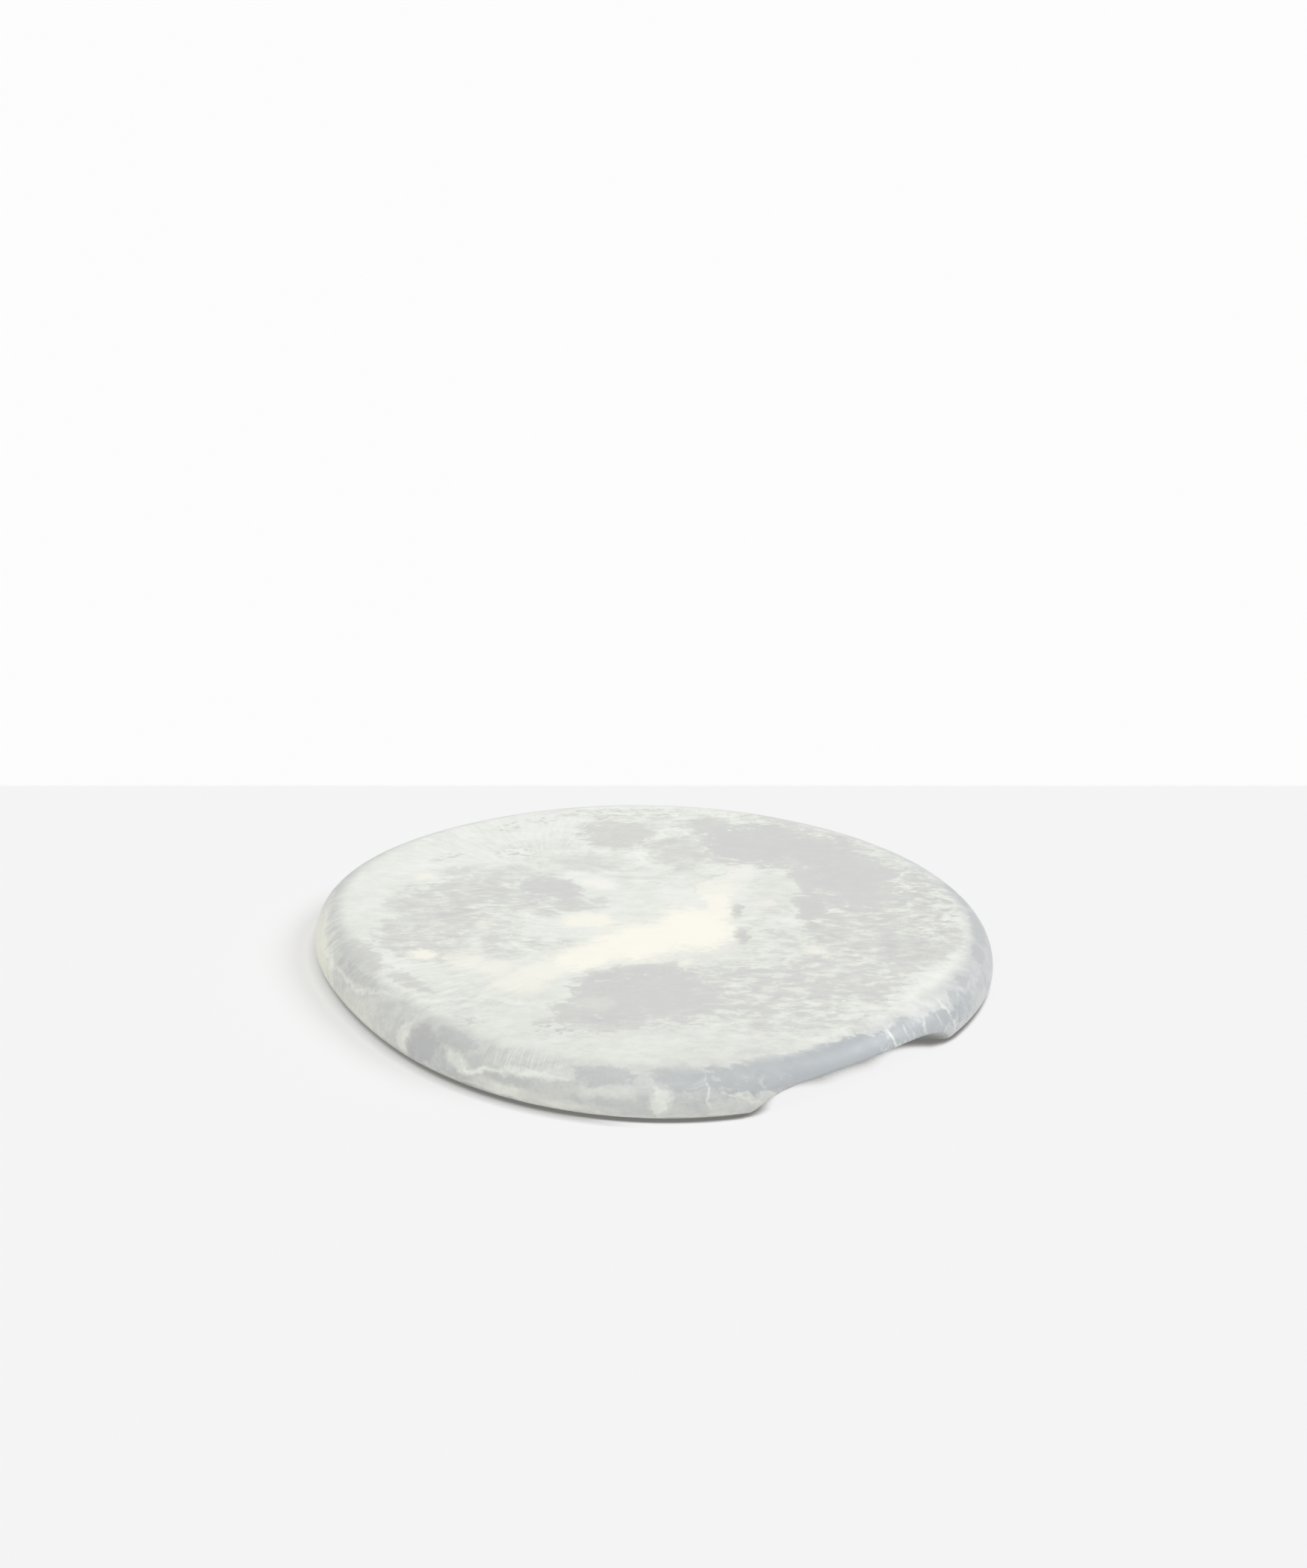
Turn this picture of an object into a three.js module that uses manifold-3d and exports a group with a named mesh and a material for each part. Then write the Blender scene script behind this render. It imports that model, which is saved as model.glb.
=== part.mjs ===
// A cheese platter: one thick slab of marbled cast resin, almost round, on four low bumper feet.
// Millimetres, +Z up. The origin is on the table under the middle of the platter, and the finger
// recess, where a hand gets under the rim to lift it, faces -Y.
import * as THREE from 'three';
import { mergeVertices } from 'three/addons/utils/BufferGeometryUtils.js';
import Module from 'manifold-3d';

// Slab
const meanRadius = 180;
const slabThickness = 25;
const heelRadius = 5; // small rounding where the rim turns under
const shoulderWidth = 22; // the wide pebble-like rounding from the rim to the flat top
const heelFullness = 0.55; // Bezier handle lengths: 0.55 is a circle's, more is fuller
const shoulderFullness = 0.62;

// The outline is hand-made: slow waves round the rim, with their height and the direction of a crest
const outlineWaves = [
  { perTurn: 2, height: 5.6, crestDegrees: 98.3 },
  { perTurn: 3, height: 4.2, crestDegrees: 110.2 },
  { perTurn: 4, height: 1.65, crestDegrees: 40.7 },
  { perTurn: 5, height: 0.55, crestDegrees: 45 },
  { perTurn: 6, height: 0.5, crestDegrees: 5.8 },
];

// Finger recess: an oval dome scooped out of the underside, open at the rim
const recessDirection = -Math.PI / 2;
const recessHalfWidth = 73.5;
const recessReach = 37; // how far it runs in under the slab from the rim
const recessCentreBeyondRim = 2;
const recessHeight = 13.5;
const recessFlatness = 4; // 2 is an ellipsoid's roof, more is flatter over the middle
const recessFall = 0.8; // 0.5 meets the underside upright, more slopes into it

// Bumper feet, stuck to the flat underside clear of the recess
const footRadius = 6;
const footHeight = 1.6;
const footEdge = 0.8; // rounding of the face that stands on the table
const footCircleRadius = 126;
const footNames = ['foot_back_right', 'foot_back_left', 'foot_front_left', 'foot_front_right'];

// Facets
const turnSteps = 144;
const sectionSteps = 9;
const scoopSteps = 56;
const footSteps = 32;

const wasm = await Module();
wasm.setup();

// Distance from the outline's own centre to the rim in one direction
function rimRadius(angle) {
  let radius = meanRadius;
  for (const { perTurn, height, crestDegrees } of outlineWaves) {
    radius += height * Math.cos(perTurn * (angle - THREE.MathUtils.degToRad(crestDegrees)));
  }
  return radius;
}

// Turns a profile of (radius, height) points about +Z
function revolve(profile, steps) {
  return new THREE.LatheGeometry(profile, steps).rotateX(Math.PI / 2);
}

// Keeps only merged positions and drops the triangles that collapsed on the axis
function weld(geometry) {
  geometry.deleteAttribute('normal');
  geometry.deleteAttribute('uv');
  const merged = mergeVertices(geometry);
  const index = merged.index.array;
  const kept = [];
  for (let corner = 0; corner < index.length; corner += 3) {
    const [a, b, c] = index.slice(corner, corner + 3);
    if (a !== b && b !== c && c !== a) kept.push(a, b, c);
  }
  merged.setIndex(kept);
  return merged;
}

function toSolid(geometry) {
  const welded = weld(geometry);
  return new wasm.Manifold(new wasm.Mesh({
    numProp: 3,
    vertProperties: welded.attributes.position.array,
    triVerts: new Uint32Array(welded.index.array),
  }));
}

function toGeometry(solid) {
  const { vertProperties, triVerts } = solid.getMesh();
  const geometry = new THREE.BufferGeometry();
  geometry.setAttribute('position', new THREE.BufferAttribute(vertProperties, 3));
  geometry.setIndex(new THREE.BufferAttribute(triVerts, 1));
  geometry.computeVertexNormals();
  return geometry;
}

// Section of the slab from the middle of its underside, round the rim, to the middle of its top
function slabSection() {
  const underside = footHeight;
  const widest = underside + heelRadius;
  const top = underside + slabThickness;
  const heelStart = meanRadius - heelRadius;
  const shoulderEnd = meanRadius - shoulderWidth;
  const path = new THREE.Path();
  path.moveTo(0, underside);
  path.lineTo(heelStart, underside);
  path.bezierCurveTo(
    heelStart + heelFullness * heelRadius, underside,
    meanRadius, widest - heelFullness * heelRadius,
    meanRadius, widest,
  );
  path.bezierCurveTo(
    meanRadius, widest + shoulderFullness * (top - widest),
    shoulderEnd + shoulderFullness * shoulderWidth, top,
    shoulderEnd, top,
  );
  path.lineTo(0, top);
  return path.getPoints(sectionSteps);
}

// Pushes every turned ring in or out to the hand-made outline, so that the rim's section stays the same
function followOutline(geometry) {
  const position = geometry.attributes.position;
  for (let vertex = 0; vertex < position.count; vertex += 1) {
    const x = position.getX(vertex);
    const y = position.getY(vertex);
    const radius = Math.hypot(x, y);
    if (radius < 1) continue;
    const angle = Math.atan2(y, x);
    const stretch = (radius + rimRadius(angle) - meanRadius) / radius;
    position.setXY(vertex, x * stretch, y * stretch);
  }
  return geometry;
}

// A dome and its mirror image below, so that the cut runs clear through the underside
function fingerScoop() {
  const centre = new THREE.Vector2(rimRadius(recessDirection) + recessCentreBeyondRim, 0);
  centre.rotateAround(new THREE.Vector2(), recessDirection);
  const dome = new THREE.SphereGeometry(1, scoopSteps, scoopSteps / 2).rotateX(Math.PI / 2);
  const position = dome.attributes.position;
  for (let vertex = 0; vertex < position.count; vertex += 1) {
    const out = Math.min(1, Math.hypot(position.getX(vertex), position.getY(vertex)));
    const roof = (1 - out ** recessFlatness) ** recessFall;
    position.setZ(vertex, Math.sign(position.getZ(vertex)) * roof);
  }
  return dome
    .scale(recessHalfWidth, recessReach + recessCentreBeyondRim, recessHeight)
    .translate(centre.x, centre.y, footHeight);
}

function slab() {
  const turned = weld(revolve(slabSection(), turnSteps));
  const cut = toGeometry(toSolid(followOutline(turned)).subtract(toSolid(fingerScoop())));
  cut.computeBoundingBox();
  const centre = cut.boundingBox.getCenter(new THREE.Vector3());
  const material = new THREE.MeshStandardMaterial({ color: 0xdddfd9, roughness: 0.42, metalness: 0 });
  const mesh = new THREE.Mesh(cut.translate(-centre.x, -centre.y, 0), material);
  mesh.name = 'slab';
  return mesh;
}

function foot(name, index) {
  const profile = new THREE.Path();
  profile.moveTo(0, 0);
  profile.lineTo(footRadius - footEdge, 0);
  profile.quadraticCurveTo(footRadius, 0, footRadius, footEdge);
  profile.lineTo(footRadius, footHeight);
  profile.lineTo(0, footHeight);
  const material = new THREE.MeshStandardMaterial({ color: 0xd9dcdc, roughness: 0.3, metalness: 0 });
  const mesh = new THREE.Mesh(weld(revolve(profile.getPoints(sectionSteps), footSteps)), material);
  const angle = ((index + 0.5) / footNames.length) * 2 * Math.PI;
  mesh.position.set(footCircleRadius * Math.cos(angle), footCircleRadius * Math.sin(angle), 0);
  mesh.name = name;
  return mesh;
}

const platter = new THREE.Group();
platter.name = 'cheese_platter';
platter.add(slab(), ...footNames.map(foot));

export default platter;
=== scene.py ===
import math

import bmesh
import bpy
from mathutils import Matrix, Vector


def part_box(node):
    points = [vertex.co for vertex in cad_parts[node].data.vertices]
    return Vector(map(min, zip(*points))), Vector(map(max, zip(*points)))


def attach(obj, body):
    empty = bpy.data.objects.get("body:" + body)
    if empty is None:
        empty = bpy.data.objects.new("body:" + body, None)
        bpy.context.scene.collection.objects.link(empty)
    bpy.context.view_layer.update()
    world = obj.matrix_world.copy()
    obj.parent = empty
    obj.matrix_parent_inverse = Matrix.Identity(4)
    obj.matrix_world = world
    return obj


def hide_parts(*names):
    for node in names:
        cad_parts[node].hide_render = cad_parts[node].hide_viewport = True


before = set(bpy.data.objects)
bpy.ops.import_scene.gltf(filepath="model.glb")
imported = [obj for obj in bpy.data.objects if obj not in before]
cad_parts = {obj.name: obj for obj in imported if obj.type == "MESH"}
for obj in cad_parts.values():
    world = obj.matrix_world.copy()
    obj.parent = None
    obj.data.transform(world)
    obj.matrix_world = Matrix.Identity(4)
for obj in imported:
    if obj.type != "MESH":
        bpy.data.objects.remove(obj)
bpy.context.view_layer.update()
print("frame loaded:", sorted(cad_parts))

# Where the photograph was taken from: the marbling is laid out as it is seen from there
viewTurn = math.radians(-37.26)
millimetres = 1000  # in a metre
mergeDistance = 1e-6


# Slab mesh

slabShape = {
    "meanRadius": 0.180,
    "thickness": 0.025,
    "heel": 0.005,  # small rounding where the rim turns under
    "heelShare": 0.25,  # of the way along the section's two curves
    "shoulder": 0.022,  # wide rounding from the rim to the flat top
    "heelFullness": 0.55,
    "shoulderFullness": 0.62,
    "waves": [(2, 0.0056, 98.3), (3, 0.0042, 110.2), (4, 0.00165, 40.7), (5, 0.00055, 45),
              (6, 0.0005, 5.8)],  # per turn, height, direction of a crest
    "recessTurn": -90,
    "recessHalfWidth": 0.0735,
    "recessReach": 0.037,
    "recessBeyondRim": 0.002,
    "recessHeight": 0.0135,
    "recessFlatness": 4,
    "recessFall": 0.8,
    "recessWithin": 0.8,  # cosine of the turn inside which the recess is looked for
    "recessDeepest": 0.06,  # inset up to which its inner end is looked for
    "lipRound": 0.0016,  # sanded edge of the recess
    "endRound": 5,  # columns over which the lip's ends are eased into the heel
    "turnSteps": 720,
    "crowding": 0.6,  # columns are closer together near the recess
    "roofRings": 12,
    "roofCrowding": 1.6,  # rings are closer together near the inner end
    "roofRun": 0.002,  # underside that these rings take up where there is no recess
    "lipRings": 4,
    "rimRings": 28,
    "rimSearch": 0.002,  # step of the search for the end of the sanded edge
    "flatShares": [0.0, 0.35, 0.7],
    "flatRise": 0.02,  # the flat top counts as further up than the rim, so that it has the top's marbling
    "sharpFrom": 40,
}


def rimRadius(angle):
    return slabShape["meanRadius"] + sum(
        height * math.cos(perTurn * (angle - math.radians(crest))) for perTurn, height, crest in slabShape["waves"])


def bezier(points, t):
    while len(points) > 1:
        points = [a.lerp(b, t) for a, b in zip(points, points[1:])]
    return points[0]


def rimPoint(t):  # inset from the rim and height over the underside, from the heel (0) to the flat top (1)
    heel, shoulder, top = slabShape["heel"], slabShape["shoulder"], slabShape["thickness"]
    share = slabShape["heelShare"]
    if t < share:
        handle = heel * (1 - slabShape["heelFullness"])
        return bezier([Vector((heel, 0)), Vector((handle, 0)), Vector((0, handle)), Vector((0, heel))], t / share)
    full = slabShape["shoulderFullness"]
    return bezier([Vector((0, heel)), Vector((0, heel + full * (top - heel))),
                   Vector((shoulder * (1 - full), top)), Vector((shoulder, top))], (t - share) / (1 - share))


waySteps = 400
rimWay = [0.0]  # distance along the rim's section from the heel
for step in range(waySteps):
    rimWay.append(rimWay[-1] + (rimPoint((step + 1) / waySteps) - rimPoint(step / waySteps)).length)


def upRim(t):
    return rimWay[min(waySteps, round(t * waySteps))]


def scoopRoof(angle, inset):  # height of the recess's roof over the underside, 0 outside it
    turn = angle - math.radians(slabShape["recessTurn"])
    radius = rimRadius(angle) - inset
    centre = rimRadius(math.radians(slabShape["recessTurn"])) + slabShape["recessBeyondRim"]
    across = radius * math.sin(turn) / slabShape["recessHalfWidth"]
    out = (radius * math.cos(turn) - centre) / (slabShape["recessReach"] + slabShape["recessBeyondRim"])
    share = min(1.0, math.hypot(across, out))
    return slabShape["recessHeight"] * (1 - share ** slabShape["recessFlatness"]) ** slabShape["recessFall"]


def lastInside(test, low, high, steps=60, halvings=24):  # the highest value from low to high that passes, or low
    found = [k for k in range(steps + 1) if test(low + (high - low) * k / steps)]
    if not found:
        return low
    inside = low + (high - low) * found[-1] / steps
    outside = inside + (high - low) / steps
    for _ in range(halvings):
        middle = (inside + outside) / 2
        inside, outside = (middle, outside) if test(middle) else (inside, middle)
    return inside


def turnAngle(step):  # direction of one column of the mesh
    recess = math.radians(slabShape["recessTurn"])
    even = 2 * math.pi * step / slabShape["turnSteps"]
    return even - slabShape["crowding"] * math.sin(even - recess)


def lipStart(angle):  # where the recess's lip cuts the rim's section, 0 away from the recess
    if math.cos(angle - math.radians(slabShape["recessTurn"])) < slabShape["recessWithin"]:
        return 0.0
    return lastInside(lambda t: rimPoint(t).y < scoopRoof(angle, rimPoint(t).x), 0.0, 1.0)


def slabSection(angle, lipAt):  # rows of (radius, height, distance up the rim), from the underside to the top
    radius = rimRadius(angle)
    lip = rimPoint(lipAt)
    innerInset = lip.x + slabShape["roofRun"]
    if lipAt > 0:
        innerEnd = lastInside(lambda inset: scoopRoof(angle, inset) > 0, lip.x, slabShape["recessDeepest"])
        innerInset = max(innerInset, innerEnd)
    trim = slabShape["lipRound"]
    rows = [((radius - innerInset) * share, 0.0, 0.0) for share in slabShape["flatShares"]]
    roofEnd = lip.x + min(trim, (innerInset - lip.x) / 2)
    for k in range(slabShape["roofRings"] + 1):
        inset = innerInset + (roofEnd - innerInset) * (k / slabShape["roofRings"]) ** slabShape["roofCrowding"]
        rows.append((radius - inset, scoopRoof(angle, inset), 0.0))
    rimStart = lipAt
    while (rimPoint(rimStart) - lip).length < trim:
        rimStart += slabShape["rimSearch"]
    corner = [Vector((radius - rows[-1][0], rows[-1][1])), lip, rimPoint(rimStart)]
    for k in range(1, slabShape["lipRings"] + 1):
        point = bezier(corner, k / (slabShape["lipRings"] + 1))
        rows.append((radius - point.x, point.y, upRim(lipAt)))
    for k in range(slabShape["rimRings"] + 1):
        t = rimStart + (1 - rimStart) * k / slabShape["rimRings"]
        point = rimPoint(t)
        rows.append((radius - point.x, point.y, upRim(t)))
    flat = radius - slabShape["shoulder"]
    for share in reversed(slabShape["flatShares"]):
        rows.append((flat * share, slabShape["thickness"], rows[-1][2] + slabShape["flatRise"] + flat * (1 - share)))
    return rows


def spinLine(bm, line, steps):  # turns a line of points once about +Z
    edges = [bm.edges.new(pair) for pair in zip(line, line[1:])]
    bmesh.ops.spin(bm, geom=line + edges, cent=(0, 0, 0), axis=(0, 0, 1), angle=2 * math.pi, steps=steps,
                   use_merge=True)


def finishMesh(bm, name, sharpFrom):  # smooth, except at edges sharper than so many degrees
    bmesh.ops.recalc_face_normals(bm, faces=bm.faces)
    for face in bm.faces:
        face.smooth = True
    mesh = bpy.data.meshes.new(name)
    bm.to_mesh(mesh)
    bm.free()
    mesh.set_sharp_from_angle(angle=math.radians(sharpFrom))
    return mesh


def makeSlabMesh():
    lowCorner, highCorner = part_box("slab")
    bm = bmesh.new()
    rowOf = bm.verts.layers.int.new("row")
    upOf = bm.verts.layers.float.new("upRim")
    line = []
    for row, (radius, height, _) in enumerate(slabSection(0.0, 0.0)):
        line.append(bm.verts.new((radius, 0, height)))
        line[-1][rowOf] = row
    steps = slabShape["turnSteps"]
    spinLine(bm, line, steps)
    print("slab turned:", len(bm.verts), "points")
    lips = [lipStart(turnAngle(step)) for step in range(steps)]
    ease = slabShape["endRound"]
    eased = [sum(lips[(step + k) % steps] for k in range(-ease, ease + 1)) / (2 * ease + 1) for step in range(steps)]
    sections = [slabSection(turnAngle(step), eased[step]) for step in range(steps)]
    for vert in bm.verts:  # each ring is pushed to the hand-made outline and up into the recess
        step = round(math.atan2(vert.co.y, vert.co.x) / (2 * math.pi) * steps) % steps
        radius, height, up = sections[step][vert[rowOf]]
        angle = turnAngle(step)
        vert.co = (radius * math.cos(angle), radius * math.sin(angle), lowCorner.z + height)
        vert[upOf] = up * millimetres
    bm.verts.layers.int.remove(rowOf)
    bmesh.ops.remove_doubles(bm, verts=bm.verts, dist=mergeDistance)
    high = Vector((max(v.co.x for v in bm.verts), max(v.co.y for v in bm.verts), 0))
    slabShape["shift"] = Vector((highCorner.x, highCorner.y, 0)) - high
    bmesh.ops.translate(bm, vec=slabShape["shift"], verts=bm.verts)
    mesh = finishMesh(bm, "slabCasting", slabShape["sharpFrom"])
    moved = [round(part * millimetres, 2) for part in slabShape["shift"]]
    print("slab shaped:", len(mesh.polygons), "faces, moved by", moved, "mm")
    return mesh


# Bumper feet

footShape = {
    "edge": 0.0008,  # rounding of the face that stands on the table
    "rim": 0.00025,  # small upper rim
    "flatShare": 0.6,
    "turnSteps": 48,
    "cornerSteps": 6,
    "sharpFrom": 35,
}


def makeFootMesh(node):
    low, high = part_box(node)
    radius, height, edge, rim = (high.x - low.x) / 2, high.z - low.z, footShape["edge"], footShape["rim"]
    path = [(0, 0), (radius * footShape["flatShare"], 0)]
    for k in range(footShape["cornerSteps"] + 1):
        turn = math.pi / 2 * k / footShape["cornerSteps"]
        path.append((radius - edge + edge * math.sin(turn), edge - edge * math.cos(turn)))
    path += [(radius, height - rim), (radius - rim, height), (0, height)]
    bm = bmesh.new()
    line = [bm.verts.new((r, 0, z)) for r, z in path]
    spinLine(bm, line, footShape["turnSteps"])
    bmesh.ops.remove_doubles(bm, verts=bm.verts, dist=mergeDistance)
    bmesh.ops.translate(bm, vec=((low.x + high.x) / 2, (low.y + high.y) / 2, low.z), verts=bm.verts)
    return finishMesh(bm, node, footShape["sharpFrom"])


# Material nodes

def linear(red, green, blue):  # a colour as it is picked on screen, 0 to 255
    parts = [c / 255 for c in (red, green, blue)]
    return tuple(c / 12.92 if c <= 0.04045 else ((c + 0.055) / 1.055) ** 2.4 for c in parts) + (1.0,)


def newMaterial(name):
    material = bpy.data.materials.new(name)
    material.use_nodes = True
    return material, material.node_tree, material.node_tree.nodes["Principled BSDF"]


def addNode(tree, kind, sockets=None, **settings):
    node = tree.nodes.new("ShaderNode" + kind)
    for name, value in settings.items():
        setattr(node, name, value)
    for name, value in (sockets or {}).items():
        if isinstance(value, bpy.types.NodeSocket):
            tree.links.new(value, node.inputs[name])
        else:
            node.inputs[name].default_value = value
    return node


def calc(tree, operation, first, second=0.0, third=0.0):
    return addNode(tree, "Math", {0: first, 1: second, 2: third}, operation=operation).outputs[0]


def vectorCalc(tree, operation, first, second=(0, 0, 0), third=(0, 0, 0)):
    node = addNode(tree, "VectorMath", {0: first, 1: second, 2: third}, operation=operation)
    return node.outputs["Value" if operation == "LENGTH" else "Vector"]


def fade(tree, value, start, end, low=0.0, high=1.0):
    return addNode(tree, "MapRange", {"Value": value, "From Min": start, "From Max": end, "To Min": low,
                                      "To Max": high}, interpolation_type="SMOOTHSTEP").outputs["Result"]


def mixColour(tree, share, first, second):
    return addNode(tree, "Mix", {0: share, 6: first, 7: second}, data_type="RGBA").outputs[2]


def objectPlace(tree, **sockets):  # object coordinates, moved, turned or scaled
    return addNode(tree, "Mapping", {"Vector": addNode(tree, "TexCoord").outputs["Object"], **sockets}).outputs[0]


def noise(tree, vector, size, detail=4.0, roughness=0.55, distortion=0.0):  # signed, size in mm
    return addNode(tree, "TexNoise", {"Vector": vector, "Scale": 1 / size, "Detail": detail, "Roughness": roughness,
                                      "Distortion": distortion}, normalize=False)


def grain(tree, vector, *settings):
    return noise(tree, vector, *settings).outputs[0]


def addBump(tree, shader, place, look):
    bump = addNode(tree, "Bump", {"Strength": look["strength"], "Distance": look["distance"],
                                  "Height": grain(tree, place, *look["grain"])})
    tree.links.new(bump.outputs[0], shader.inputs["Normal"])


# Adds soft ovals to a base level or takes the highest. The level is carried in Z, beside the place in X and Y.
def poolField(tree, vector, pools, base, join="ADD", ragged=0.0):
    start = addNode(tree, "CombineXYZ", {"Z": base}).outputs[0]
    carried = vectorCalc(tree, "MULTIPLY_ADD", vector, (1, 1, 0), start)
    aside = 0.0 if join == "ADD" else -1e4  # leaves X and Y as they are
    flatten = 1e6  # keeps the level in Z out of the distance
    for across, away, halfWidth, halfDepth, turn, weight, soft in pools:
        local = addNode(tree, "Mapping", {"Vector": carried, "Location": (across, away, 0),
                                          "Rotation": (0, 0, math.radians(turn)),
                                          "Scale": (halfWidth, halfDepth, flatten)}, vector_type="TEXTURE")
        reach = calc(tree, "ADD", vectorCalc(tree, "LENGTH", local.outputs[0]), ragged)
        level = fade(tree, reach, 1 + soft, 1 - soft, 0.0, weight)
        oval = addNode(tree, "CombineXYZ", {"X": aside, "Y": aside, "Z": level}).outputs[0]
        carried = vectorCalc(tree, join, carried, oval)
    return addNode(tree, "SeparateXYZ", {0: carried}).outputs[2]


def strokeField(tree, vector, rise, maskVector, strokes, total):  # brushed lines round a centre or out from it
    for across, away, around, out, pool in strokes:
        outward = vectorCalc(tree, "MULTIPLY", vectorCalc(tree, "SUBTRACT", vector, (across, away, 0)), (1, 1, 0))
        reach = rise if rise is not None else vectorCalc(tree, "LENGTH", outward)
        lift = addNode(tree, "CombineXYZ", {"Z": calc(tree, "MULTIPLY", reach, out)}).outputs[0]
        lines = vectorCalc(tree, "MULTIPLY_ADD", vectorCalc(tree, "NORMALIZE", outward), (around, around, 0), lift)
        brushed = grain(tree, lines, *marbling["brush"])
        mask = poolField(tree, maskVector, [pool], 0.0)
        total = calc(tree, "MULTIPLY_ADD", brushed, mask, total)
    return total


# Marbled resin. Each oval is (across, away, half width, half depth, turn, level, softness), in millimetres as seen
# from the front of the photograph, round the outline's own centre. On the rim the first two are degrees round from
# that front and millimetres up its section. Level 0 is white resin and 1 the darkest grey;
# on the rim the levels also carry painted shade and painted light of the wall.

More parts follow.
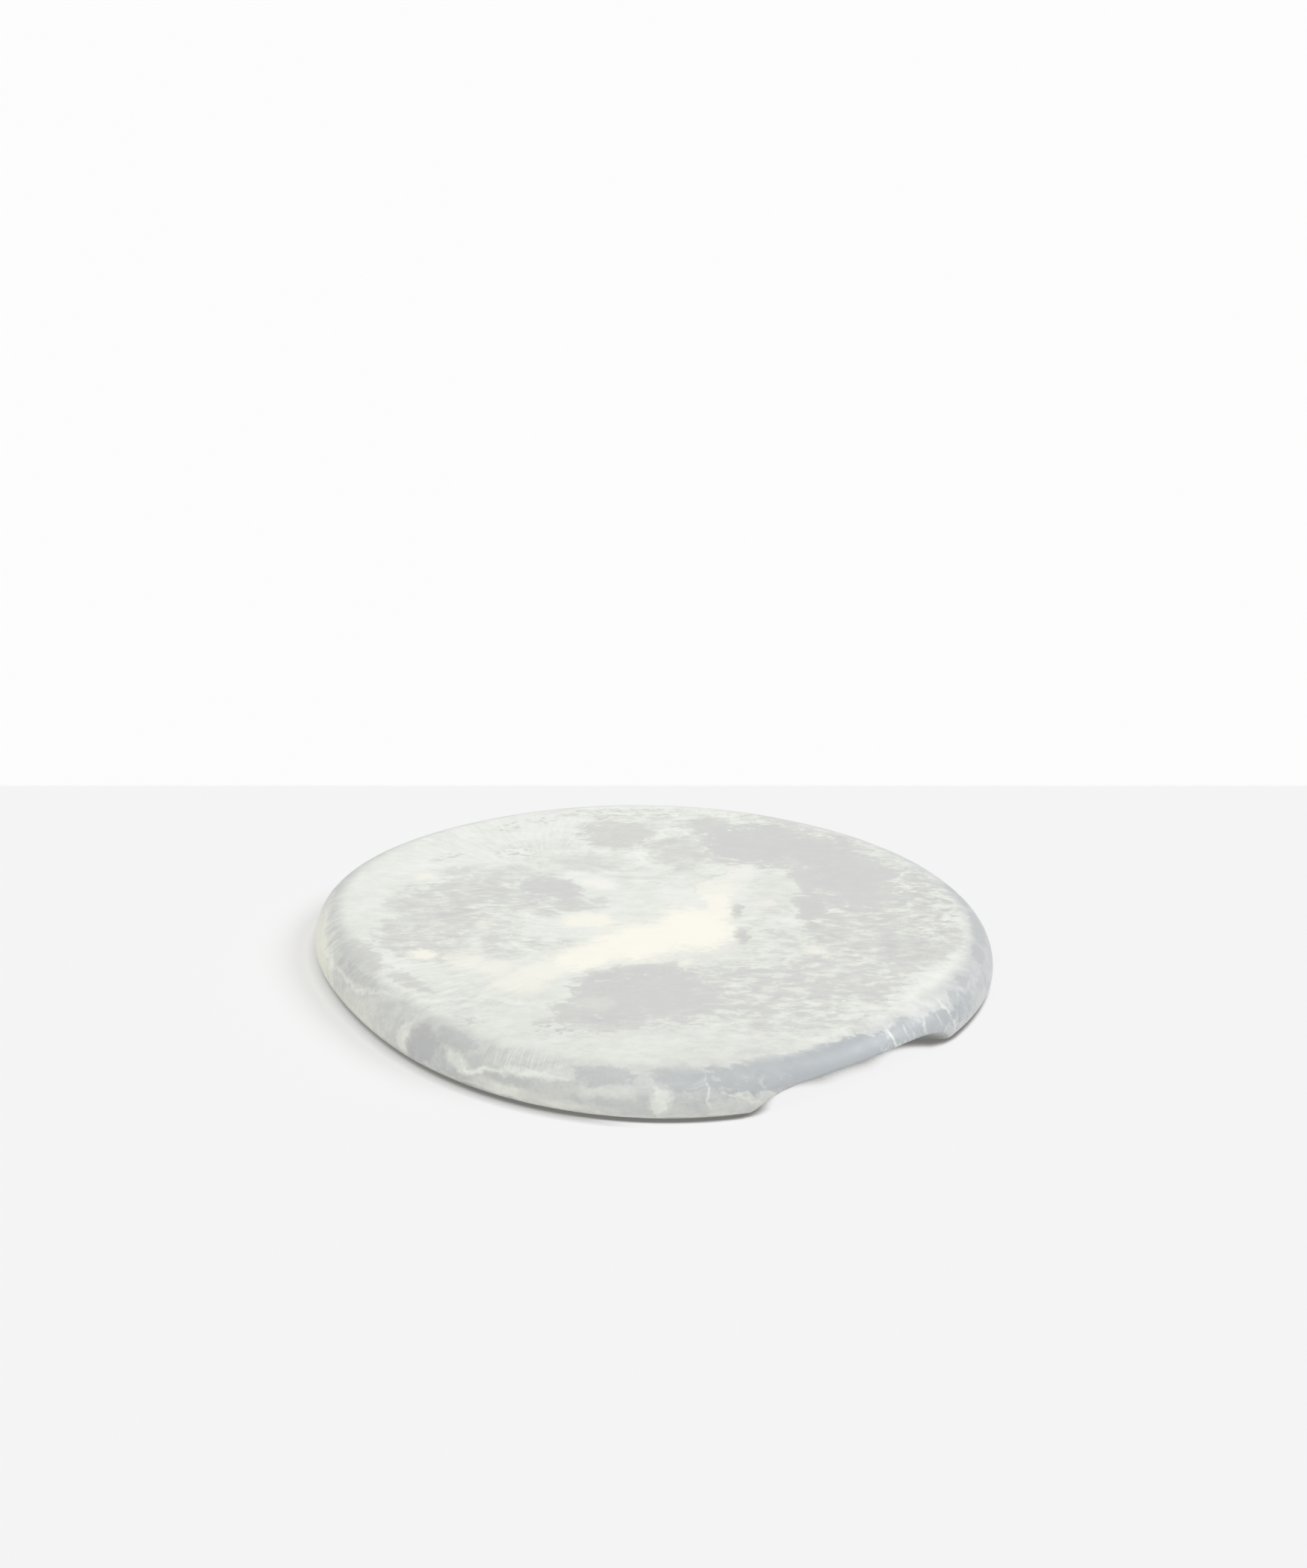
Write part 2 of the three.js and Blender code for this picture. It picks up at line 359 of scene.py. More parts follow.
marbling = {
    "topTones": [(0.0, (240, 241, 236)), (0.25, (231, 233, 227)), (0.45, (223, 225, 218)), (0.6, (215, 216, 211)),
                 (0.8, (207, 207, 204)), (1.0, (200, 200, 199))],
    # the rim's tones run darker than the top's: partly the resin's own grey, partly painted shade of the side-facing
    # wall
    "rimTones": [(0.0, (238, 240, 235)), (0.15, (231, 233, 228)), (0.35, (220, 222, 218)), (0.55, (208, 210, 207)),
                 (0.75, (198, 200, 199)), (1.0, (187, 189, 190))],
    "cream": (251, 248, 236),
    "slate": (208, 208, 207),
    # blue-grey of the recess wall: partly its own tint, partly painted shade
    "wallBluePaintedShade": (172, 177, 180),
    # pale green of the lower wall: partly its own tint, partly painted light lifting its shade
    "wallGreenPaintedLight": (240, 241, 226),
    "bend": [(14, 2.6), (4, 1.4)],  # the pools' edges wander: size and reach of each wave, mm
    "bendAcross": 1.5,  # and wander this much further across
    "rimBend": [(22, 2.5), (7, 1.2), (2.5, 0.4)],
    "rimBendAcross": 1.6,
    "topFrom": (28.0, 38.0),  # the rim's marbling gives way to the top's, mm up the rim
    "streak": (0.55, 1.0, 1.0),  # the grain is drawn out across
    "topBase": 0.3,
    "towardFront": -0.001,  # the pale resin is greyer towards the front, per millimetre away
    # rim base: greyer than the top's, partly the resin's own grey, partly painted shade of the side-facing wall
    "rimBase": 0.56,
    "topPools": [
        (-124, 22, 18, 27, -5, 0.64, 0.5), (-98, 38, 27, 26, 0, 0.66, 0.5), (-56, 43, 20, 16, -35, 0.86, 0.5),
        (-44, 21, 17, 10, -25, 0.74, 0.5), (-74, 32, 26, 24, 0, 0.66, 0.5), (-80, 62, 24, 13, 0, 0.6, 0.5),
        (-108, 0, 26, 29, 10, 0.68, 0.45), (-84, -5, 17, 11, 0, 0.62, 0.5), (-131, -30, 15, 24, 25, 0.68, 0.5),
        (-112, -40, 28, 18, 0, 0.62, 0.5), (-130, -4, 15, 16, 0, 0.7, 0.5), (-60, -31, 18, 7, 5, 0.52, 0.5),
        (-88, -22, 20, 18, 0, 0.56, 0.6), (-80, -42, 16, 10, 0, 0.6, 0.5), (-58, 11, 10, 8, -30, 0.62, 0.5),
        (-104, 66, 18, 9, 25, 0.58, 0.5), (-138, 24, 10, 20, 0, 0.54, 0.6), (-120, -18, 14, 16, 0, 0.68, 0.5),
        (-30, 26, 8, 6, 0, 0.6, 0.6),  # left pool
        (-20, 118, 24, 24, 0, 0.68, 0.35), (-38, 79, 30, 16, -10, 0.54, 0.55), (14, 93, 18, 28, 5, 0.64, 0.45),
        (9, 108, 9, 9, 0, 0.76, 0.7), (2, 134, 10, 9, 0, 0.5, 0.6), (-58, 103, 28, 11, 0, 0.4, 0.6),
        (5, 62, 34, 16, 0, 0.38, 0.5), (34, 60, 21, 1.3, 42, 0.55, 0.6), (25, 42, 1.3, 9, -10, 0.5, 0.6),
        (38, 50, 9, 1.3, 10, 0.5, 0.6),  # far middle
        (58, 105, 38, 32, 0, 0.82, 0.4), (32, 132, 18, 13, -15, 0.74, 0.5), (111, 52, 29, 53, 8, 0.8, 0.45),
        (92, 94, 28, 30, -25, 0.8, 0.4), (84, 58, 10, 24, 10, 0.78, 0.35), (72, 78, 9, 8, 0, 0.76, 0.5),
        (86, 18, 11, 22, 0, 0.82, 0.4), (112, -15, 38, 34, 0, 0.68, 0.45),
        (135, -36, 27, 28, 0, 0.7, 0.5), (70, 38, 18, 36, -8, 0.44, 0.35), (62, -22, 20, 28, 0, 0.46, 0.5),  # right
        (-20, -95, 25, 38, -8, 0.88, 0.35), (10, -92, 30, 40, 0, 0.8, 0.5), (48, -85, 42, 40, 0, 0.64, 0.45),
        (92, -74, 44, 36, 0, 0.64, 0.45), (72, -122, 46, 20, 8, 0.56, 0.45), (-10, -63, 27, 9, 15, 0.8, 0.4),
        (130, -60, 14, 9, 0, 0.68, 0.5),
        (-22, -126, 27, 11, 5, 0.72, 0.45), (-42, -112, 12, 17, 0, 0.8, 0.4),  # near
        (45, 13, 4, 11, 0, 0.8, 0.4), (47, -18, 5, 10, 12, 0.85, 0.4),  # two spots at the end of the cream
        (-153, -46, 12, 25, 15, 0.82, 0.5), (-128, -73, 22, 7, -54, 0.78, 0.5), (157, -20, 9, 20, 0, 0.68, 0.5),
        (-113, -143, 10, 28, 25, 0.75, 0.4),  # strands that run over the rim
        (150, 25, 18, 64, -5, 0.58, 0.5), (148, 62, 12, 25, -12, 0.64, 0.5), (85, 135, 36, 12, -28, 0.56, 0.5),
        (118, 105, 42, 18, -48, 0.52, 0.6), (-12, 148, 44, 10, 0, 0.34, 0.5), (56, -155, 45, 6, 20, 0.52, 0.6),
    ],
    "topVeils": [  # added to the level: below 0 is paler
        (-133, -62, 17, 20, -10, -0.16, 0.6), (147, -75, 48, 12, 58, -0.2, 0.5), (15, -150, 80, 9, 2, -0.04, 0.5),
        (7, 131, 3, 13, 10, -0.14, 0.6), (-7, 92, 3, 14, 10, -0.18, 0.6), (-47, 64, 20, 3, -54, -0.1, 0.6),
        (-30, 50, 10, 8, -30, -0.2, 0.6), (-8, 37, 20, 1.2, 4, -0.14, 0.5), (-60, -8, 34, 9, -8, -0.14, 0.5),
        (-103, -97, 20, 1.5, 10, -0.18, 0.6), (-73, -99, 14, 1.5, -20, -0.18, 0.6), (18, 34, 13, 11, 0, -0.2, 0.6),
    ],
    "creamPools": [
        (22, -11, 22, 28, 0, 0.95, 0.45), (-5, -26, 29, 23, 25, 0.9, 0.5), (-32, -44, 28, 15, 35, 0.85, 0.5),
        (-56, -63, 18, 11, 45, 0.6, 0.55),  # band
        (35, 20, 8, 22, 5, 0.75, 0.5), (36, 42, 13, 15, 0, 0.5, 0.5), (48, 64, 8, 12, -25, 0.35, 0.55),  # arm
        (-34, 0, 15, 10, -8, 0.7, 0.5), (-120, -42, 8, 6, -25, 0.7, 0.45), (-106, -46, 6, 5, 0, 0.5, 0.5),
        (-97, -50, 10, 11, 0, 0.5, 0.5), (-82, -58, 13, 12, 0, 0.48, 0.55), (-68, -77, 16, 15, 30, 0.52, 0.55),
        (-125, 58, 6, 6, 0, 0.5, 0.5), (60, 22, 6, 5, 0, 0.42, 0.5), (86, -38, 8, 6, 0, 0.42, 0.5),
        (18, -53, 6, 6, 0, 0.5, 0.5), (-30, 50, 9, 7, -30, 0.36, 0.5), (-92, -6, 5, 5, 0, 0.38, 0.5),
        (-8, 90, 4, 9, 10, 0.28, 0.5), (-28, -103, 10, 8, 0, 0.25, 0.6),  # flecks
    ],
    "mottleBase": 0.14,
    "mottlePools": [
        (150, 25, 20, 60, 0, 0.45, 0.4), (75, -95, 70, 50, 0, 0.42, 0.5), (112, -20, 44, 42, 0, 0.36, 0.5),
        (-14, 148, 42, 10, 0, 0.4, 0.5), (112, 112, 50, 20, -48, 0.34, 0.6), (-92, 28, 50, 44, 0, 0.28, 0.5),
        (-105, -25, 47, 36, 0, 0.28, 0.5), (62, -20, 27, 34, 0, 0.34, 0.5), (-60, -30, 22, 10, 0, 0.45, 0.5),
        (5, 60, 42, 24, 0, 0.24, 0.6),
    ],
    "speckPools": [
        (-80, 130, 10, 5, 40, 1.0, 0.6), (-62, 139, 9, 5, 0, 0.9, 0.6), (-76, 93, 11, 9, 0, 1.0, 0.6),
        (-113, 87, 9, 4, 30, 0.9, 0.6), (-50, -132, 11, 7, -35, 1.0, 0.6), (-14, 150, 42, 8, 0, 0.7, 0.5),
        (40, 148, 42, 7, -12, 0.45, 0.6), (-90, -122, 9, 4, 30, 0.6, 0.6), (150, 25, 17, 62, 0, 0.5, 0.5),
    ],
    "fleckPools": [
        (-88, 30, 44, 36, 0, 0.55, 0.5), (-105, -20, 40, 30, 0, 0.55, 0.5), (5, -95, 40, 40, 0, 0.2, 0.5),
    ],
    "topStrokes": [  # centre, lines per turn, lines per millimetre out, and the oval where they show
        (-40, 60, 2.5, 0.35, (-48, -8, 40, 18, 0, -0.16, 0.6)),
        (-20, -30, 26, 0.06, (-115, -85, 50, 45, 30, -0.24, 0.6)),
        (-60, 50, 30, 0.05, (-85, 110, 60, 40, 20, -0.18, 0.6)),
        (40, -20, 24, 0.06, (110, -140, 50, 14, 38, -0.16, 0.6)),
    ],
    "slatePools": [
        (60, 108, 42, 36, 0, 0.55, 0.4), (112, 45, 38, 62, 0, 0.55, 0.4), (-50, 43, 20, 18, 0, 0.6, 0.4),
        (15, -95, 34, 36, 0, 0.6, 0.5), (-38, -85, 10, 24, 0, 0.6, 0.4), (80, -80, 60, 40, 0, 0.5, 0.5),
    ],
    "rimPools": [
        (-80, 30, 70, 9, 0, 0.52, 0.5), (-68, 25.5, 28, 4, 0, 0.68, 0.3), (-75, 42, 6, 9, 0, 0.55, 0.3),
        (-54, 38, 8, 13, 5, 0.7, 0.3), (-66, 10, 36, 9, 0, 0.58, 0.4), (-53, 18, 10, 14, 0, 0.55, 0.3),
        (-43, 16, 13, 14, 0, 0.88, 0.45), (-36, 26, 19, 6, 0, 0.76, 0.5), (-34, 6, 22, 5, 0, 0.75, 0.4),
        (-24, 14, 18, 6, 0, 0.72, 0.3), (-24, 27, 20, 9, 0, 0.52, 0.4), (-8, 25, 18, 6, 0, 0.92, 0.4),
        # partly painted shade: the dark pools on this line and the next four, on the recess wall and the right wall,
        # are deepened beyond the resin's own grey
        (-12, 15, 28, 6, 0, 0.55, 0.4), (4, 28, 16, 10, 0, 0.85, 0.4), (26, 23, 60, 12, -3, 0.95, 0.25),
        (52, 17, 28, 7, 0, 0.78, 0.3), (47, 22, 16, 8, 0, 0.85, 0.4), (61.5, 23.5, 5, 4, 0, 0.85, 0.3),
        (64, 16, 14, 8, 0, 0.72, 0.35),
        (67.5, 27, 8, 5, 0, 0.9, 0.6), (79, 26, 10, 7, 0, 1.0, 0.6), (90, 26, 24, 7, 0, 0.95, 0.5),
        (104, 28, 22, 7, 0, 0.85, 0.5), (76, 18, 34, 7, 0, 0.62, 0.6),
        (121, 27, 26, 7, 0, 0.85, 0.5), (140, 20, 30, 9, 0, 0.78, 0.5), (160, 27, 30, 6, 0, 0.88, 0.5),
        (-165, 17, 30, 8, 0, 0.74, 0.5), (-149, 27, 34, 7, 0, 0.82, 0.5), (-126, 24, 30, 7, 0, 0.74, 0.5),
        (-112, 13, 18, 7, 0, 0.66, 0.5),  # far side
    ],
    "rimVeils": [  # added to the level: below 0 is paler
        (-91, 22.3, 22, 1.6, -7, -0.25, 0.7), (-75, 19, 28, 1.4, 1.5, -0.3, 0.7),
        (-61.5, 24, 15, 1.4, 15, -0.25, 0.7),
        # painted light: these three pale the lower left wall out of its shade and draw a thin highlight of floor
        # bounce along the heel
        (-93, 15, 42, 13, 0, -0.42, 0.5), (-70, 7, 50, 4, 0, -0.18, 0.6), (-18, 5, 95, 1.3, 0, -0.3, 0.6),
        # painted shade: the first two on this line darken the front and right walls
        (-18, 14, 75, 9, 0, 0.14, 0.5), (86, 22, 75, 13, 0, 0.22, 0.5), (-48, 14, 4.5, 10, 0, -0.4, 0.5),
        (-34.5, 17, 9, 4, -25, -0.42, 0.5),
        (-29.5, 14.5, 10, 1.6, 18, -0.45, 0.6), (-21, 19, 20, 1.8, 6, -0.4, 0.6), (-8, 17, 20, 3, 4, -0.25, 0.6),
        (1, 15, 4, 8, -8, -0.45, 0.5), (-24, 8.5, 10, 2.5, 0, -0.3, 0.5), (-14, 7.5, 12, 2, 0, -0.25, 0.5),
        (8.5, 18, 1.2, 9, -3, -0.3, 0.6), (17.5, 19, 1.2, 2.5, 0, -0.3, 0.6), (14, 15, 10, 1, -25, -0.25, 0.6),
        (43, 22.5, 1.3, 6, -6, -0.34, 0.6), (45.3, 27, 5, 1.4, 0, -0.25, 0.6), (46.8, 21, 0.7, 5, 0, -0.28, 0.6),
        (48.3, 20.5, 0.7, 4.5, 0, -0.28, 0.6), (50, 20, 0.6, 3, 0, -0.25, 0.6), (51.8, 19, 0.8, 4.5, 0, -0.28, 0.6),
        (55, 19, 0.6, 3, 0, -0.25, 0.6), (58.5, 19, 1.2, 9, 8, -0.28, 0.6), (54, 30, 22, 4, -3, -0.2, 0.6),
        (114, 18, 8, 6, 0, -0.4, 0.5), (131, 18, 5, 10, -8, -0.45, 0.5), (152, 17, 14, 4, -15, -0.45, 0.5),
        (168, 21, 22, 1.8, 5, -0.45, 0.6), (-158, 13, 10, 8, 10, -0.45, 0.5), (-140, 19, 26, 1.8, -4, -0.45, 0.6),
        (-117, 20, 22, 1.8, 6, -0.4, 0.6),  # far side
    ],
    "rimHairs": [(-82, 29, 60, 10, 0, -0.2, 0.5), (-24, 29, 24, 9, 0, -0.25, 0.5), (138, 29, 40, 9, 0, -0.22, 0.5),
                 (-132, 29, 40, 9, 0, -0.22, 0.5)],
    # blue on the recess wall: partly the resin's tint, partly painted shade
    "bluePaintedShadePools": [(14, 22, 40, 11, 0, 0.38, 0.5), (33, 20, 46, 12, 0, 0.85, 0.5), (55, 16, 30, 8, 0, 0.5, 0.4)],
    # pale green low on the left and front walls: partly the resin's tint, partly painted light
    "greenPaintedLightPools": [(-92, 10, 42, 11, 0, 0.8, 0.5), (-66, 10, 30, 6, 0, 0.25, 0.5), (-20, 8, 40, 3, 0, 0.3, 0.5)],
    "slateFrom": (0.45, 0.85),  # grey levels at which these tints start and are full
    "blueFrom": (0.5, 0.85),
    "hairs": (200, 0.06),  # brushed lines on the rim: per turn and per millimetre up
    "brush": (1.0, 3.0, 0.6),
    "feather": {"grain": (5, 5.0, 0.62, 1.0), "depth": 0.36, "smoother": 0.6},  # ragged edges of the pools
    "mottle": {"grain": (5.5, 4.0, 0.6, 0.4), "rim": 0.16, "cream": 0.1},
    "cloud": {"grain": (28, 3.0), "depth": 0.12},
    "rimCloud": {"grain": (45, 2.0), "depth": 0.15},
    "speck": {"stretch": (0.75, 1.1, 1.1), "grain": (4.2, 2.0), "fade": (0.06, 0.28, 0.0, 0.5)},
    "fleck": {"turn": -35, "stretch": (0.3, 1.0, 1.0), "grain": (2.2, 2.0), "fade": (0.15, 0.5, 0.0, -0.35)},
    "fine": {"grain": (2.2, 3.0), "top": 0.06, "rim": 0.05},
    "roughness": {"level": 0.42, "grain": (9, 4.0), "depth": 0.08},
    "bump": {"grain": (3.5, 4.0), "strength": 0.06, "distance": 0.0004},
    "ior": 1.5,
    "specular": 0.35,
}
roundRim = slabShape["meanRadius"] * millimetres  # millimetres round for each radian


def onRim(pool):  # degrees round become millimetres round
    return (math.radians(pool[0]) * roundRim,) + tuple(pool[1:])


def wander(tree, vector, place, waves, stretch):
    for size, reach in waves:
        vector = vectorCalc(tree, "MULTIPLY_ADD", noise(tree, place, size).outputs["Color"],
                            (reach * stretch, reach, 0), vector)
    return vector


def toneRamp(tree, level, tones):
    ramp = addNode(tree, "ValToRGB", {0: level})
    points = ramp.color_ramp.elements
    while len(points) < len(tones):
        points.new(0.5)
    for point, (position, tone) in zip(points, tones):
        point.position, point.color = position, linear(*tone)
    return ramp.outputs[0]


def makeResin():
    material, tree, shader = newMaterial("marbledResin")
    shift = Matrix.Rotation(-viewTurn, 4, "Z") @ slabShape["shift"] * millimetres
    place = objectPlace(tree, Location=-shift, Rotation=(0, 0, -viewTurn), Scale=(millimetres,) * 3)
    bent = wander(tree, place, place, marbling["bend"], marbling["bendAcross"])

    # rim coordinates: millimetres round from the front and up the section
    parts = addNode(tree, "SeparateXYZ", {0: place})
    turn = calc(tree, "ARCTAN2", parts.outputs[0], calc(tree, "MULTIPLY", parts.outputs[1], -1.0))
    up = addNode(tree, "Attribute", attribute_name="upRim").outputs["Fac"]
    flatRim = addNode(tree, "CombineXYZ", {"X": calc(tree, "MULTIPLY", turn, roundRim), "Y": up}).outputs[0]
    bentRim = wander(tree, flatRim, place, marbling["rimBend"], marbling["rimBendAcross"])
    overTop = fade(tree, up, *marbling["topFrom"])

    # grey levels of the top and of the rim
    feather, mottle = marbling["feather"], marbling["mottle"]
    streaked = vectorCalc(tree, "MULTIPLY", place, marbling["streak"])
    feathered = calc(tree, "MULTIPLY", grain(tree, streaked, *feather["grain"]), feather["depth"])
    smoother = calc(tree, "MULTIPLY", feathered, feather["smoother"])
    pale = calc(tree, "MULTIPLY_ADD", parts.outputs[1], marbling["towardFront"], marbling["topBase"])
    topGrey = poolField(tree, bent, marbling["topPools"], pale, "MAXIMUM", feathered)
    topGrey = poolField(tree, bent, marbling["topVeils"], topGrey)
    topGrey = strokeField(tree, place, None, bent, marbling["topStrokes"], topGrey)
    rimPlaces = {name: [onRim(pool) for pool in marbling[name]]
                 for name in ("rimPools", "rimVeils", "rimHairs", "bluePaintedShadePools", "greenPaintedLightPools")}
    rimGrey = poolField(tree, bentRim, rimPlaces["rimPools"], marbling["rimBase"], "MAXIMUM", smoother)
    rimGrey = poolField(tree, bentRim, rimPlaces["rimVeils"], rimGrey, "ADD", feathered)
    cloud, rimCloud = marbling["cloud"], marbling["rimCloud"]
    rimGrey = calc(tree, "MULTIPLY_ADD", grain(tree, place, *rimCloud["grain"]), rimCloud["depth"], rimGrey)
    hairs = [(0, 0, *marbling["hairs"], pool) for pool in rimPlaces["rimHairs"]]
    rimGrey = strokeField(tree, place, up, bentRim, hairs, rimGrey)

    # mottles, specks, flecks and fine grain
    mottled = grain(tree, streaked, *mottle["grain"])
    mottlePlace = poolField(tree, place, marbling["mottlePools"], marbling["mottleBase"], "MAXIMUM")
    topGrey = calc(tree, "MULTIPLY_ADD", mottled, mottlePlace, topGrey)
    topGrey = calc(tree, "MULTIPLY_ADD", grain(tree, place, *cloud["grain"]), cloud["depth"], topGrey)
    rimGrey = calc(tree, "MULTIPLY_ADD", mottled, mottle["rim"], rimGrey)
    speck, fleck, fine = marbling["speck"], marbling["fleck"], marbling["fine"]
    stretched = vectorCalc(tree, "MULTIPLY", place, speck["stretch"])
    speckled = fade(tree, grain(tree, stretched, *speck["grain"]), *speck["fade"])
    speckPlace = poolField(tree, place, marbling["speckPools"], 0.0, "MAXIMUM")
    topGrey = calc(tree, "MULTIPLY_ADD", speckled, speckPlace, topGrey)
    slanted = addNode(tree, "Mapping", {"Vector": place, "Rotation": (0, 0, math.radians(fleck["turn"])),
                                        "Scale": fleck["stretch"]}).outputs[0]
    flecked = fade(tree, grain(tree, slanted, *fleck["grain"]), *fleck["fade"])
    fleckPlace = poolField(tree, bent, marbling["fleckPools"], 0.0, "MAXIMUM")
    topGrey = calc(tree, "MULTIPLY_ADD", flecked, fleckPlace, topGrey)
    fineGrain = grain(tree, place, *fine["grain"])
    topGrey = calc(tree, "MULTIPLY_ADD", fineGrain, fine["top"], topGrey)
    rimGrey = calc(tree, "MULTIPLY_ADD", fineGrain, fine["rim"], rimGrey)

    # tones, then slate and cream on the top, then on the rim a blue tint that is partly painted shade and a green
    # tint that is partly painted light
    colour = mixColour(tree, overTop, toneRamp(tree, rimGrey, marbling["rimTones"]),
                       toneRamp(tree, topGrey, marbling["topTones"]))
    slate = calc(tree, "MULTIPLY", poolField(tree, bent, marbling["slatePools"], 0.0, "MAXIMUM"),
                 fade(tree, topGrey, *marbling["slateFrom"]))
    colour = mixColour(tree, calc(tree, "MULTIPLY", slate, overTop), colour, linear(*marbling["slate"]))
    creamLevel = poolField(tree, bent, marbling["creamPools"], 0.0, "MAXIMUM", smoother)
    creamLevel = calc(tree, "MULTIPLY_ADD", mottled, mottle["cream"], creamLevel)
    cream = calc(tree, "MULTIPLY", fade(tree, creamLevel, 0.0, 1.0), overTop)
    colour = mixColour(tree, cream, colour, linear(*marbling["cream"]))
    onWall = calc(tree, "SUBTRACT", 1.0, overTop)
    blue = poolField(tree, bentRim, rimPlaces["bluePaintedShadePools"], 0.0, "MAXIMUM", feathered)
    blue = calc(tree, "MULTIPLY", blue, fade(tree, rimGrey, *marbling["blueFrom"]))
    green = poolField(tree, bentRim, rimPlaces["greenPaintedLightPools"], 0.0, "MAXIMUM", feathered)
    for field, tint in ((blue, "wallBluePaintedShade"), (green, "wallGreenPaintedLight")):
        colour = mixColour(tree, calc(tree, "MULTIPLY", field, onWall), colour, linear(*marbling[tint]))

    tree.links.new(colour, shader.inputs["Base Color"])
    rough = marbling["roughness"]
    satin = calc(tree, "MULTIPLY_ADD", grain(tree, place, *rough["grain"]), rough["depth"], rough["level"])
    tree.links.new(satin, shader.inputs["Roughness"])
    addBump(tree, shader, place, marbling["bump"])
    shader.inputs["IOR"].default_value = marbling["ior"]
    shader.inputs["Specular IOR Level"].default_value = marbling["specular"]
    return material


bumper = {
    "clear": (206, 211, 211),
    "dusty": (188, 192, 190),
    "dust": {"grain": (3.0, 4.0), "fade": (-0.5, 0.5), "rougher": 0.15},
    "roughness": 0.3,
    "bump": {"grain": (0.8, 3.0), "strength": 0.1, "distance": 0.0001},
}


def makeBumper():
    material, tree, shader = newMaterial("clearBumper")
    place = objectPlace(tree, Scale=(millimetres,) * 3)
    dust = bumper["dust"]
    cloudy = fade(tree, grain(tree, place, *dust["grain"]), *dust["fade"])
    tree.links.new(mixColour(tree, cloudy, linear(*bumper["clear"]), linear(*bumper["dusty"])),
                   shader.inputs["Base Color"])
    rough = calc(tree, "MULTIPLY_ADD", cloudy, dust["rougher"], bumper["roughness"])
    tree.links.new(rough, shader.inputs["Roughness"])
    addBump(tree, shader, place, bumper["bump"])
    return material


# Pieces

def addObject(name, data):
    made = bpy.data.objects.new(name, data)
    bpy.context.scene.collection.objects.link(made)
    return made


def addPiece(name, mesh, material, node):
    piece = addObject(name, mesh)
    mesh.materials.append(material)
    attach(piece, "root")
    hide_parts(node)


slabMesh = makeSlabMesh()
addPiece("slabCasting", slabMesh, makeResin(), "slab")
print("slab finished")
bumperMaterial = makeBumper()
for node in sorted(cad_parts):
    if node.startswith("foot_"):
        addPiece(node.replace("foot_", "bumper_"), makeFootMesh(node), bumperMaterial, node)
print("feet finished")


# Floor, light and camera

stageLook = {
    "floorSize": 12.0,
    "floorCells": 8,
    "floor": (244, 244, 244),
    "far": (252.8, 252.8, 252.8),
    "seam": 0.252,  # the paler ground starts this far behind the platter's middle
    "seamSoft": 0.002,
    "roughness": 0.9,
    "lift": (0.46, 0.97),  # how far the seen ground is lit evenly, with only the painted close shadows below: left, elsewhere
    "liftFrom": (-0.175, -0.06),  # the cast shadow shows on the left, away from the key
    "contact": 0.007,  # reach of the painted soft contact shadow, which shows on the left only
    "contactTo": (-0.07, 0.0),
    "contactSamples": 4,
    "under": (0.018, 0.0115),  # reach of the painted shadow in the middle of the recess, and at its ends and under the rim
    "underTo": (0.012, 0.046),
    "underSamples": 16,
    "shade": (0.27, 0.48),  # openness at which that is darkest and fully lit
    # painted shadow: the colour the glowing ground darkens to under the rim and along the recess
    "gapPaintedShadow": (118, 117, 114),
    "sky": (0.29, 0.28, 0.25),  # warm sky, cool key from the right and neutral fill, white together on the flat
    "key": {"light": (0.31, 0.32, 0.35), "side": 98, "height": 42, "softness": 28},  # degrees round from the camera
    "fill": {"light": (0.40, 0.40, 0.40), "side": -30, "height": 52, "softness": 60},
}


def seenRays(tree):  # 1 where the camera looks, also in gloss and through clear pieces
    rays = addNode(tree, "LightPath").outputs
    seen = calc(tree, "MAXIMUM", rays["Is Camera Ray"], rays["Is Glossy Ray"])
    return calc(tree, "MAXIMUM", seen, rays["Is Transmission Ray"])


def openness(tree, reach, samples):
    return addNode(tree, "AmbientOcclusion", {"Distance": reach}, samples=samples).outputs["AO"]


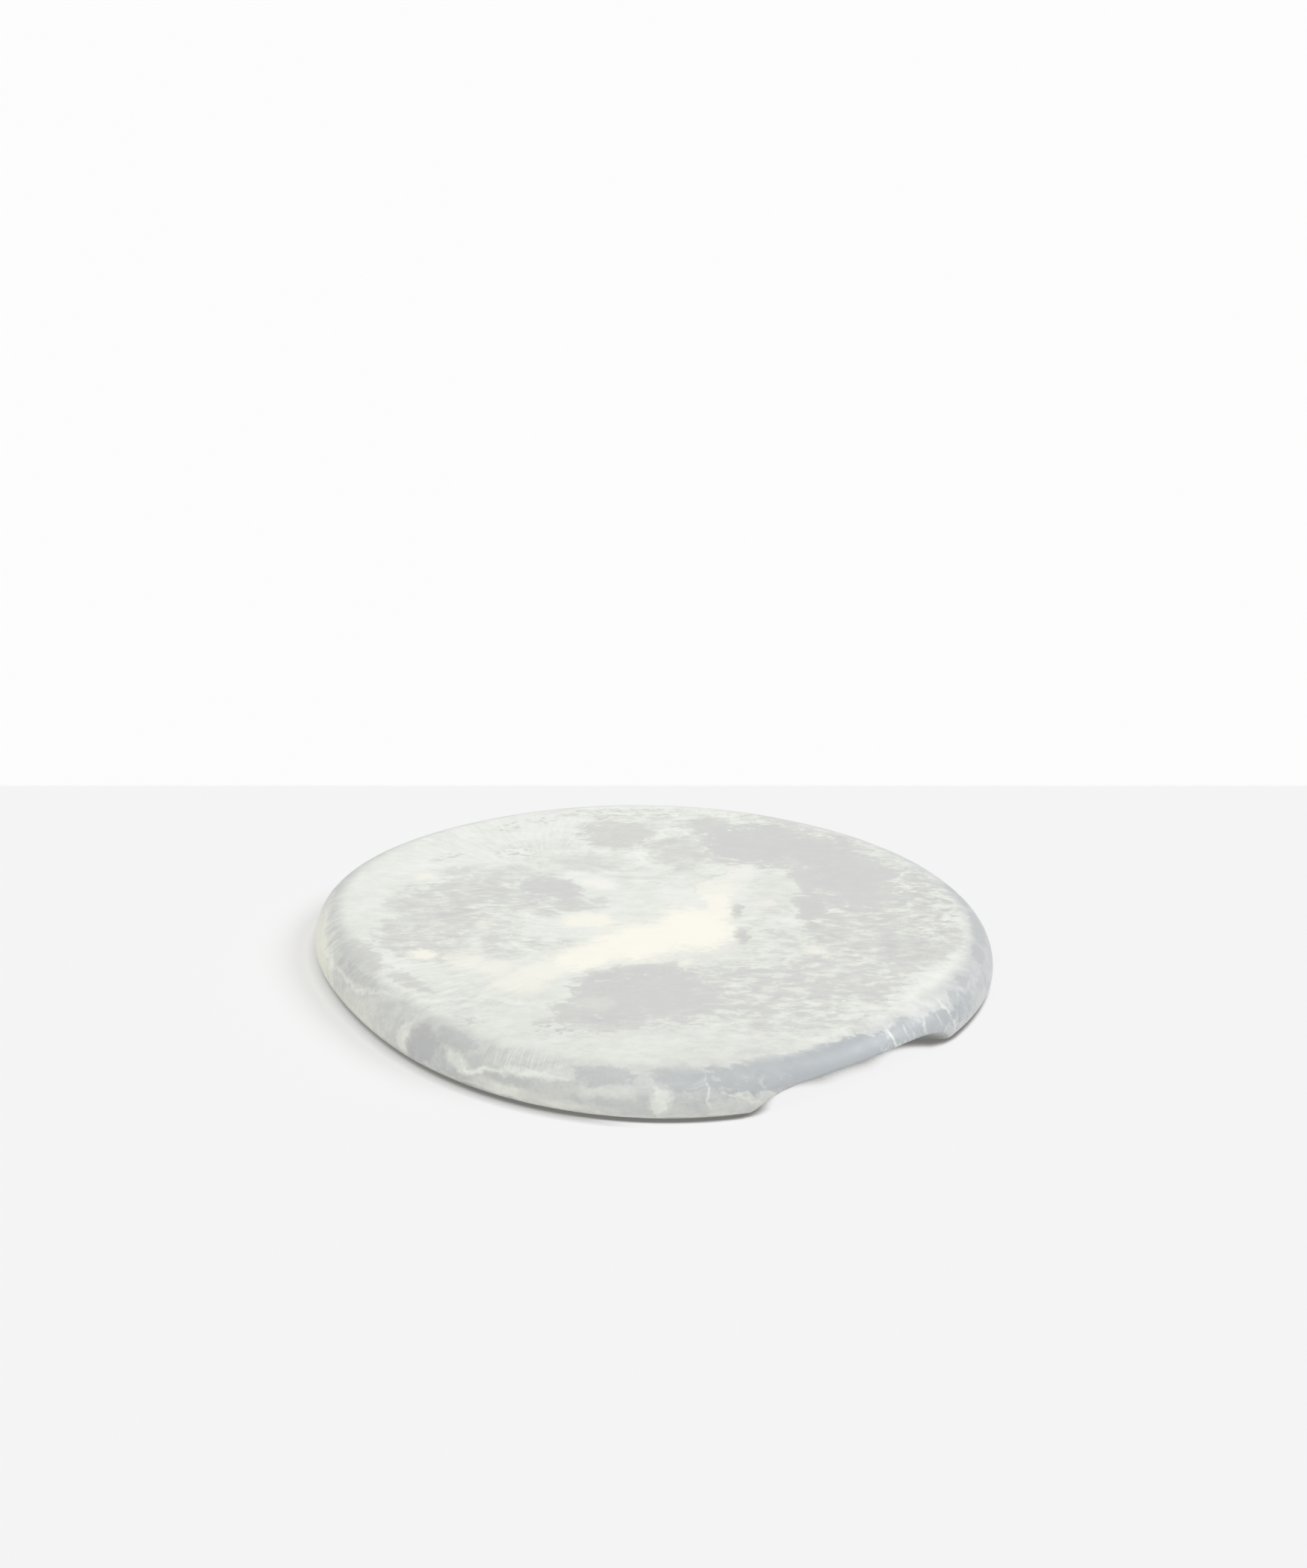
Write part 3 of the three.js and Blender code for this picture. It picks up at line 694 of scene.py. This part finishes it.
def makeFloor():
    bm = bmesh.new()
    cells = stageLook["floorCells"]
    bmesh.ops.create_grid(bm, x_segments=cells, y_segments=cells, size=stageLook["floorSize"])
    mesh = bpy.data.meshes.new("floor")
    bm.to_mesh(mesh)
    bm.free()
    floor = addObject("floor", mesh)
    material, tree, shader = newMaterial("paleGround")
    across, away, _ = addNode(tree, "SeparateXYZ", {0: objectPlace(tree, Rotation=(0, 0, -viewTurn))}).outputs
    far = fade(tree, away, stageLook["seam"] - stageLook["seamSoft"], stageLook["seam"] + stageLook["seamSoft"])
    ground = mixColour(tree, far, linear(*stageLook["floor"]), linear(*stageLook["far"]))
    tree.links.new(ground, shader.inputs["Base Color"])
    shader.inputs["Roughness"].default_value = stageLook["roughness"]
    shader.inputs["Specular IOR Level"].default_value = 0.0

    # painted close shadows in the ground's glow: soft on the left, and a narrow dark under the rim and along the
    # recess
    near = openness(tree, stageLook["contact"], stageLook["contactSamples"])
    near = calc(tree, "MAXIMUM", near, fade(tree, across, *stageLook["contactTo"]))
    along = addNode(tree, "SeparateXYZ", {0: objectPlace(tree)}).outputs[0]
    along = calc(tree, "ABSOLUTE", calc(tree, "SUBTRACT", along, slabShape["shift"].x))
    reach = fade(tree, along, *stageLook["underTo"], *stageLook["under"])
    under = fade(tree, openness(tree, reach, stageLook["underSamples"]), *stageLook["shade"])
    # ground colour with the painted shadow mixed in where the ground is closed in
    groundWithPaintedShadow = mixColour(tree, calc(tree, "MINIMUM", near, under), linear(*stageLook["gapPaintedShadow"]), ground)
    glow = addNode(tree, "Emission", {"Color": groundWithPaintedShadow, "Strength": 1.0})
    lift = calc(tree, "MULTIPLY", seenRays(tree), fade(tree, across, *stageLook["liftFrom"], *stageLook["lift"]))
    both = addNode(tree, "MixShader", {0: lift, 1: shader.outputs[0], 2: glow.outputs[0]})
    tree.links.new(both.outputs[0], tree.nodes["Material Output"].inputs["Surface"])
    mesh.materials.append(material)


def makeLight():
    world = bpy.data.worlds.new("softStudio")
    bpy.context.scene.world = world
    world.use_nodes = True
    tree = world.node_tree
    level = mixColour(tree, seenRays(tree), stageLook["sky"] + (1,), linear(*stageLook["far"]))
    tree.links.new(level, tree.nodes["Background"].inputs["Color"])
    for name in ("key", "fill"):
        lamp = stageLook[name]
        light = bpy.data.lights.new(name, "SUN")
        height, side = math.radians(lamp["height"]), viewTurn + math.radians(lamp["side"])
        brightest = max(lamp["light"])
        light.color = [part / brightest for part in lamp["light"]]
        light.energy = brightest * math.pi / math.sin(height)
        light.angle = math.radians(lamp["softness"])
        toward = Vector((math.sin(side) * math.cos(height), -math.cos(side) * math.cos(height), math.sin(height)))
        addObject(name, light).rotation_euler = toward.to_track_quat("Z", "Y").to_euler()


cameraView = {
    "pitch": 22.214,
    "lens": 85.714,
    "depth": 2.0077,
    "sensor": 36,
    "clipEnd": 100,
    "picture": (1750, 2100),
    "middlePixel": (873.5, 1290.0),  # where the middle of the slab's underside falls in that picture
    "focalPixels": 5000,
}


def makeCamera():
    pitch = math.radians(cameraView["pitch"])
    right = Vector((1, 0, 0))
    ahead = Vector((0, math.cos(pitch), -math.sin(pitch)))
    upward = right.cross(ahead)
    pixelSize = cameraView["depth"] / cameraView["focalPixels"]
    (width, height), (middleX, middleY) = cameraView["picture"], cameraView["middlePixel"]
    across = (middleX - width / 2) * pixelSize
    above = (height / 2 - middleY) * pixelSize
    middle = slabShape["shift"] + Vector((0, 0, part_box("slab")[0].z))
    back = right * across + upward * above + ahead * cameraView["depth"]
    data = bpy.data.cameras.new("camera")
    data.lens = cameraView["lens"]
    data.sensor_width = cameraView["sensor"]
    data.clip_end = cameraView["clipEnd"]
    camera = addObject("camera", data)
    camera.location = middle - Matrix.Rotation(viewTurn, 3, "Z") @ back
    camera.rotation_euler = (math.pi / 2 - pitch, 0, viewTurn)
    bpy.context.scene.camera = camera


makeFloor()
makeLight()
makeCamera()
bpy.context.scene.view_settings.view_transform = "Standard"
print("floor, light and camera set")

bpy.context.view_layer.update()
